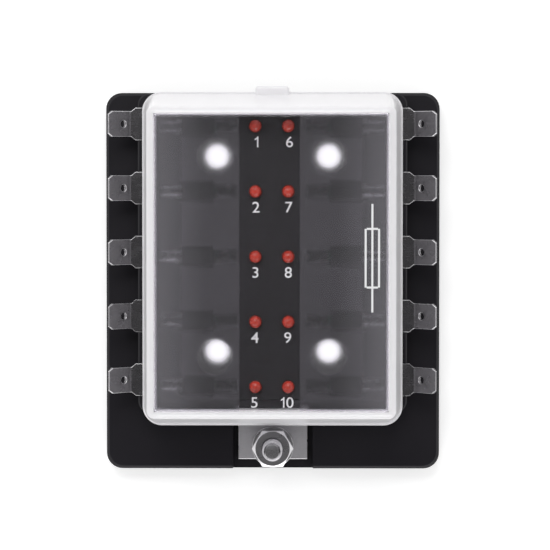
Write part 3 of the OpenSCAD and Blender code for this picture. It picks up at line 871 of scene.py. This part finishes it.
def figure_one_bmesh():
    """The figure 1, one unit high: an upright stem with a sloped flag."""
    bm = bmesh.new()
    face = bm.faces.new([bm.verts.new((x, y, 0)) for x, y in FIGURE_ONE])
    made = bmesh.ops.extrude_face_region(bm, geom=[face])
    raised = [v for v in made["geom"] if isinstance(v, bmesh.types.BMVert)]
    bmesh.ops.translate(bm, verts=raised, vec=(0, 0, 1))
    bmesh.ops.recalc_face_normals(bm, faces=bm.faces)
    return bm


def figure_bmesh(figure):
    """One figure made from text, one unit high and one unit thick."""
    if figure == "1":
        return figure_one_bmesh()
    text = bpy.data.curves.new("figure", "FONT")
    text.body = figure
    text.extrude = 0.01
    text.offset = FIGURE_BOLDNESS
    holder = bpy.data.objects.new("figure", text)
    bpy.context.scene.collection.objects.link(holder)
    depsgraph = bpy.context.evaluated_depsgraph_get()
    mesh = bpy.data.meshes.new_from_object(holder.evaluated_get(depsgraph))
    bm = bmesh.new()
    bm.from_mesh(mesh)
    bpy.data.objects.remove(holder)
    bpy.data.curves.remove(text)
    bpy.data.meshes.remove(mesh)
    bmesh.ops.remove_doubles(bm, verts=bm.verts, dist=0.0001)
    lo, hi = extent(bm)
    tall, thick = hi.y - lo.y, hi.z - lo.z
    bmesh.ops.translate(bm, verts=bm.verts, vec=-lo)
    bmesh.ops.scale(bm, verts=bm.verts, vec=(FIGURE_STRETCH / tall, 1 / tall, 1 / thick))
    return bm


def number_bmesh(circuit, sizes):
    """One printed circuit number, laid on the ridge beside its lamp."""
    bm = bmesh.new()
    right = 0.0
    for figure in str(circuit):
        part = figure_bmesh(figure)
        bmesh.ops.translate(part, verts=part.verts, vec=(right, 0, 0))
        right = extent(part)[1].x + FIGURE_GAP
        merge_into(bm, part)
    lo, hi = extent(bm)
    size = sizes.digit_height
    lamp = middle(f"led_{circuit}")
    drift = (circuit - 1) % ROWS * sizes.digit_drift
    place = (
        lamp.x + sizes.digit_shift - drift, lamp.y - sizes.digit_drop, high("fuse_carrier").z
    )
    bmesh.ops.translate(bm, verts=bm.verts, vec=(-(lo.x + hi.x) / 2, -0.5, 0))
    bmesh.ops.scale(bm, verts=bm.verts, vec=(size, size, sizes.digit_relief))
    bmesh.ops.translate(bm, verts=bm.verts, vec=place)
    return bm


def number_rail_bmesh(sizes):
    """The lip in front of the ridge that carries the last two numbers."""
    top = high("fuse_carrier").z
    end, half = sizes.ridge_end, sizes.rail_half
    bm = bar((-half - sizes.rail_offset, -end - sizes.rail_reach, top - sizes.rail_depth),
             (half - sizes.rail_offset, -end + RAIL_ROOT, top - RAIL_DROP))
    outer = [e for e in bm.edges if all(v.co.y < -end for v in e.verts)]
    round_edges(bm, outer, RAIL_SOFTNESS, 3)
    return bm


# Stud and nut: the crest and the run-out of the thread are shares of its pitch, and the end of
# the stud is in millimetres from its root and top

SHANK_RADIUS = 2.5 * MM
HEAD_CHAMFER = 0.3 * MM
STUD_END = ((0, -0.5), (-0.3, -0.03), (-0.4, 0))
THREAD_START = 1.2 * MM
THREAD_ROOT = 0.15 * MM
THREAD_CREST = 0.14
THREAD_RUNOUT = 1.3
THREAD_STEPS = 36
NUT_CORNER = 0.05 * MM
NUT_WELD = 0.002 * MM
CONE_FROM, CONE_TO = 0.2, 0.97


def stud_bmesh(sizes):
    """Stud with its head under the feed tab and a rolled thread up to its chamfered end."""
    lo, hi = low("stud"), high("stud")
    centre = middle("stud")
    under_tab = low("busbar").z
    head = (hi.x - lo.x) / 2
    root = SHANK_RADIUS - sizes.depth
    bm = spun([
        (0, lo.z), (head - HEAD_CHAMFER, lo.z), (head, lo.z + HEAD_CHAMFER), (head, under_tab),
        (root, under_tab), *((root + r * MM, hi.z + z * MM) for r, z in STUD_END), (0, hi.z)
    ], centre, steps=48)
    thread = bmesh.new()
    start = under_tab + THREAD_START
    turns = int((hi.z - start - sizes.pitch * THREAD_RUNOUT) / sizes.pitch)
    half, crest = sizes.pitch / 2, THREAD_CREST * sizes.pitch / 2
    section = [
        (root - THREAD_ROOT, -half), (root, -half), (SHANK_RADIUS, -crest),
        (SHANK_RADIUS, crest), (root, half), (root - THREAD_ROOT, half)
    ]
    face = thread.faces.new([thread.verts.new((centre.x + r, centre.y, start + z))
                             for r, z in section])
    bmesh.ops.spin(
        thread, geom=[face], cent=centre, axis=UP, dvec=(0, 0, sizes.pitch / THREAD_STEPS),
        angle=math.tau * turns, steps=THREAD_STEPS * turns, use_duplicate=False
    )
    bmesh.ops.recalc_face_normals(thread, faces=thread.faces)
    merge_into(bm, thread)
    return bm


def nut_bmesh(sizes):
    """Hexagon nut with its corners turned down to a cone on both faces, which carries a painted
    highlight.
    """
    lo, hi = low("terminal_nut"), high("terminal_nut")
    centre = middle("terminal_nut")
    corner, flat = (hi.x - lo.x) / 2 + NUT_CORNER, (hi.y - lo.y) / 2
    bore, lead = sizes.nut_bore / 2, sizes.nut_lead
    face = flat * sizes.nut_face
    drop = (corner - face) * math.tan(math.radians(30))
    bm = spun([
        (bore, lo.z + lead), (bore + lead, lo.z), (face, lo.z), (corner, lo.z + drop),
        (corner, hi.z - drop), (face, hi.z), (bore + lead, hi.z), (bore, hi.z - lead),
        (bore, lo.z + lead)
    ], centre, steps=60)
    for degrees in range(30, 360, 60):
        out = Vector((math.cos(math.radians(degrees)), math.sin(math.radians(degrees)), 0))
        cut = bmesh.ops.bisect_plane(
            bm, geom=[*bm.verts, *bm.edges, *bm.faces], plane_co=centre + out * flat, plane_no=out,
            clear_outer=True
        )
        edges = [e for e in cut["geom_cut"] if isinstance(e, bmesh.types.BMEdge)]
        bmesh.ops.contextual_create(bm, geom=edges)
    bmesh.ops.remove_doubles(bm, verts=bm.verts, dist=NUT_WELD)
    bmesh.ops.recalc_face_normals(bm, faces=bm.faces)
    for made in bm.faces:
        # The cone faces take the painted highlight.
        made.material_index = HIGHLIGHT_SLOT if CONE_FROM < abs(made.normal.z) < CONE_TO else PLAIN
    return bm


# Stage

KEY_LIGHT = {"place": (-0.1, 0.42, 0.62), "size": (0.5, 0.35)}
FRONT_LIGHT = {"place": (0.05, -0.6, 0.32), "size": (0.7, 0.3)}
FLOOR_TONES = (0.74, 0.78)
SKY_HEIGHTS = (0.35, 0.93)


def look_matrix(eye, aim):
    """Camera placing that keeps the back of the block at the top of the picture."""
    ahead = (aim - eye).normalized()
    right = ahead.cross(Vector((0, 1, 0))).normalized()
    upward = right.cross(ahead)
    turn = Matrix((right, upward, -ahead)).transposed().to_4x4()
    return Matrix.Translation(eye) @ turn


def add_camera(settings):
    data = bpy.data.cameras.new("camera")
    data.lens = settings.lens
    data.sensor_width = 36.0
    data.clip_start = 0.01
    data.clip_end = 20.0
    camera = bpy.data.objects.new("camera", data)
    bpy.context.scene.collection.objects.link(camera)
    camera.matrix_world = look_matrix(Vector(settings.eye), Vector(settings.aim))
    bpy.context.scene.camera = camera


def add_area_light(name, power, place, size):
    """An area light that shines at the middle of the block's underside."""
    data = bpy.data.lights.new(name, "AREA")
    data.shape = "RECTANGLE"
    data.size, data.size_y = size
    data.energy = power
    lamp = bpy.data.objects.new(name, data)
    bpy.context.scene.collection.objects.link(lamp)
    lamp.location = place
    lamp.rotation_mode = "QUATERNION"
    lamp.rotation_quaternion = (-Vector(place)).to_track_quat("-Z", "Y")


def floor_lift(tree, settings):
    """Glow of the floor: one level for the camera and mirrors, another through the cover."""
    path = add_node(tree, "ShaderNodeLightPath", (-700, -150)).outputs
    seen = math_node(tree, "MAXIMUM", (path["Is Camera Ray"], path["Is Glossy Ray"]), (-500, -150))
    open_air = math_node(tree, "MULTIPLY", (seen, settings.floor_glow), (-350, -150))
    under = math_node(
        tree, "MULTIPLY", (path["Is Transmission Ray"], settings.floor_glow_under), (-350, -330)
    )
    return math_node(tree, "MAXIMUM", (open_air, under), (-180, -150))


def floor_material(settings):
    """Pale floor that lifts to white where the camera sees it, and keeps the block's shadow."""
    material = bpy.data.materials.new("pale floor")
    material.use_nodes = True
    tree = material.node_tree
    tree.nodes.clear()
    link = tree.links.new
    grain = add_node(tree, NOISE, (-500, 100), Scale=30.0, Detail=4.0)
    tone = map_range(tree, grain.outputs["Fac"], (0.0, 1.0), FLOOR_TONES, (-300, 100))
    diffuse = add_node(tree, "ShaderNodeBsdfDiffuse", (0, 100))
    link(tone, diffuse.inputs["Color"])
    glow = add_node(tree, "ShaderNodeEmission", (100, -100))
    link(floor_lift(tree, settings), glow.inputs["Strength"])
    total = add_node(tree, "ShaderNodeAddShader", (300, 0))
    link(diffuse.outputs[0], total.inputs[0])
    link(glow.outputs[0], total.inputs[1])
    out = add_node(tree, "ShaderNodeOutputMaterial", (500, 0))
    link(total.outputs[0], out.inputs["Surface"])
    return material


def make_world(settings):
    """Sky that is bright near the horizon and dimmer overhead, and white to the camera."""
    world = bpy.data.worlds.new("studio")
    bpy.context.scene.world = world
    world.use_nodes = True
    tree = world.node_tree
    tree.nodes.clear()
    link = tree.links.new
    coords = add_node(tree, "ShaderNodeTexCoord", (-900, 0))
    parts = add_node(tree, "ShaderNodeSeparateXYZ", (-700, 0))
    link(coords.outputs["Generated"], parts.inputs[0])
    level = map_range(
        tree, parts.outputs["Z"], SKY_HEIGHTS, (settings.fill_level, settings.zenith_level),
        (-500, 0), interpolation_type="SMOOTHSTEP"
    )
    light_path = add_node(tree, "ShaderNodeLightPath", (-500, -250))
    strength = add_node(tree, "ShaderNodeMix", (-250, 0), data_type="FLOAT")
    strength.inputs["B"].default_value = 1.0
    link(light_path.outputs["Is Camera Ray"], strength.inputs["Factor"])
    link(level, strength.inputs["A"])
    sky = add_node(tree, "ShaderNodeBackground", (0, 0))
    link(strength.outputs["Result"], sky.inputs["Strength"])
    out = add_node(tree, "ShaderNodeOutputWorld", (200, 0))
    link(sky.outputs[0], out.inputs["Surface"])


def add_floor(settings):
    bm = bmesh.new()
    bmesh.ops.create_grid(bm, x_segments=1, y_segments=1, size=3.0)
    mesh = bpy.data.meshes.new("floor")
    bm.to_mesh(mesh)
    bm.free()
    mesh.materials.append(floor_material(settings))
    floor = bpy.data.objects.new("floor", mesh)
    bpy.context.scene.collection.objects.link(floor)
    floor.location.z = CAD_BOX[0][2] - 0.02 * MM


# Operators

class FUSEBLOCK_OT_stage(bpy.types.Operator):
    """Makes the camera, the lights, the sky and the floor"""

    bl_idname = "fuse_block.stage"
    bl_label = "Stage"

    def execute(self, context):
        settings = context.scene.fuse_block_stage
        context.scene.view_settings.view_transform = "Standard"
        add_camera(settings)
        add_area_light("key", settings.key_power, **KEY_LIGHT)
        add_area_light("front", settings.front_power, **FRONT_LIGHT)
        make_world(settings)
        add_floor(settings)
        return {"FINISHED"}


class FUSEBLOCK_OT_mouldings(bpy.types.Operator):
    """Finishes the black base and the fuse carrier"""

    bl_idname = "fuse_block.mouldings"
    bl_label = "Mouldings"

    def execute(self, context):
        dress("base", nylon_material("black nylon", colours().nylon))
        dress("fuse_carrier", nylon_material("carrier nylon", colours().carrier))
        return {"FINISHED"}


class FUSEBLOCK_OT_numbers(bpy.types.Operator):
    """Prints the circuit numbers beside the lamps"""

    bl_idname = "fuse_block.numbers"
    bl_label = "Circuit numbers"

    def execute(self, context):
        sizes = context.scene.fuse_block_lamps
        for circuit in range(1, CIRCUITS + 1):
            finish_piece(
                number_bmesh(circuit, sizes), f"number_{circuit}", "block", [ink_material()]
            )
        finish_piece(
            number_rail_bmesh(context.scene.fuse_block_rail), "number_rail", "block",
            [nylon_material("carrier nylon", colours().carrier)]
        )
        return {"FINISHED"}


class FUSEBLOCK_OT_lamps(bpy.types.Operator):
    """Makes the red lamps with their lead frames and leads"""

    bl_idname = "fuse_block.lamps"
    bl_label = "Lamps"

    def execute(self, context):
        sizes = context.scene.fuse_block_lamps
        for circuit in range(1, CIRCUITS + 1):
            lens, centre, base = lamp_bmesh(circuit, sizes)
            finish_piece(
                lens, f"lamp_lens_{circuit}", "block", [lens_material()],
                replaced=(f"led_{circuit}",)
            )
            frame_parts = lamp_inside_bmesh(centre, base)
            leads = lamp_lead_bmesh(circuit, centre, base)
            for part, made in (("frame", frame_parts), ("leads", leads)):
                finish_piece(
                    made, f"lamp_{part}_{circuit}", "block", [tin_material()]
                )
        return {"FINISHED"}


class FUSEBLOCK_OT_cover(bpy.types.Operator):
    """Makes the frosted cover with its clear strip and thumb tab"""

    bl_idname = "fuse_block.cover"
    bl_label = "Cover"

    def execute(self, context):
        sizes = context.scene.fuse_block_cover
        finish_piece(
            cover_bmesh(sizes), "frosted_shell", "cover",
            [frost_material(), milk_material(), clear_material()], replaced=("cover",), smooth=25.0
        )
        finish_piece(tab_bmesh(sizes), "thumb_tab", "cover", [milk_material()])
        finish_piece(fuse_symbol_bmesh(sizes), "fuse_symbol", "cover", [ink_material()])
        return {"FINISHED"}


class FUSEBLOCK_OT_terminals(bpy.types.Operator):
    """Finishes the busbar, the clips and the spade terminals"""

    bl_idname = "fuse_block.terminals"
    bl_label = "Terminals"

    def execute(self, context):
        for circuit in range(1, CIRCUITS + 1):
            dress(f"bus_clip_{circuit}", tin_material())
            softened_copy(
                f"load_terminal_{circuit}", f"spade_terminal_{circuit}", "block",
                tin_material(), width=0.3 * MM
            )
        softened_copy(
            "busbar", "stamped_busbar", "block", busbar_material(),
            width=0.26 * MM
        )
        return {"FINISHED"}


class FUSEBLOCK_OT_feed(bpy.types.Operator):
    """Finishes the feed stud, its nut and its washers"""

    bl_idname = "fuse_block.feed"
    bl_label = "Feed stud"

    def execute(self, context):
        finish_piece(
            stud_bmesh(context.scene.fuse_block_feed), "threaded_stud", "block",
            [zinc_material()], replaced=("stud",), smooth=35.0
        )
        for node, width in (("flat_washer", 0.14), ("lock_washer", 0.1)):
            softened_copy(
                node, f"{node}_piece", "washers", zinc_material(), width * MM
            )
        finish_piece(
            nut_bmesh(context.scene.fuse_block_feed), "terminal_nut_piece", "nut",
            [zinc_material(), bright_edge_material()], replaced=("terminal_nut",), smooth=20.0
        )
        return {"FINISHED"}


class FUSEBLOCK_OT_inside(bpy.types.Operator):
    """Finishes the circuit board, the resistors and the screws inside"""

    bl_idname = "fuse_block.inside"
    bl_label = "Inside"

    def execute(self, context):
        dress("led_board", board_material())
        dress("carrier_screws", zinc_material())
        for circuit in range(1, CIRCUITS + 1):
            dress(f"resistor_{circuit}", resistor_material())
        return {"FINISHED"}


class FUSEBLOCK_PT_sidebar(bpy.types.Panel):
    """Lists the steps that build the fuse block"""

    bl_label = "Fuse Block"
    bl_idname = "FUSEBLOCK_PT_sidebar"
    bl_space_type = "VIEW_3D"
    bl_region_type = "UI"
    bl_category = "Fuse Block"

    def draw(self, context):
        for operator in OPERATORS:
            self.layout.operator(operator.bl_idname)
        for group in PROPERTY_GROUPS:
            box = self.layout.box()
            box.label(text=group)
            settings = getattr(context.scene, group)
            for name in settings.bl_rna.properties.keys():
                if name not in ("rna_type", "name"):
                    box.prop(settings, name)


OPERATORS = (
    FUSEBLOCK_OT_stage, FUSEBLOCK_OT_mouldings, FUSEBLOCK_OT_terminals, FUSEBLOCK_OT_inside,
    FUSEBLOCK_OT_lamps, FUSEBLOCK_OT_numbers, FUSEBLOCK_OT_feed, FUSEBLOCK_OT_cover,
)
PROPERTY_GROUPS = {
    "fuse_block_cover": CoverSizes,
    "fuse_block_lamps": LampSizes,
    "fuse_block_rail": RailSizes,
    "fuse_block_feed": FeedSizes,
    "fuse_block_finish": FinishColours,
    "fuse_block_stage": StageSettings,
}


def register():
    for group, kind in PROPERTY_GROUPS.items():
        bpy.utils.register_class(kind)
        setattr(bpy.types.Scene, group, bpy.props.PointerProperty(type=kind))
    for kind in (*OPERATORS, FUSEBLOCK_PT_sidebar):
        bpy.utils.register_class(kind)


def unregister():
    for kind in (FUSEBLOCK_PT_sidebar, *reversed(OPERATORS)):
        bpy.utils.unregister_class(kind)
    for group, kind in PROPERTY_GROUPS.items():
        delattr(bpy.types.Scene, group)
        bpy.utils.unregister_class(kind)


def main():
    register()
    for operator in OPERATORS:
        category, name = operator.bl_idname.split(".")
        getattr(getattr(bpy.ops, category), name)()
    bpy.context.view_layer.update()


if __name__ == "__main__":
    main()
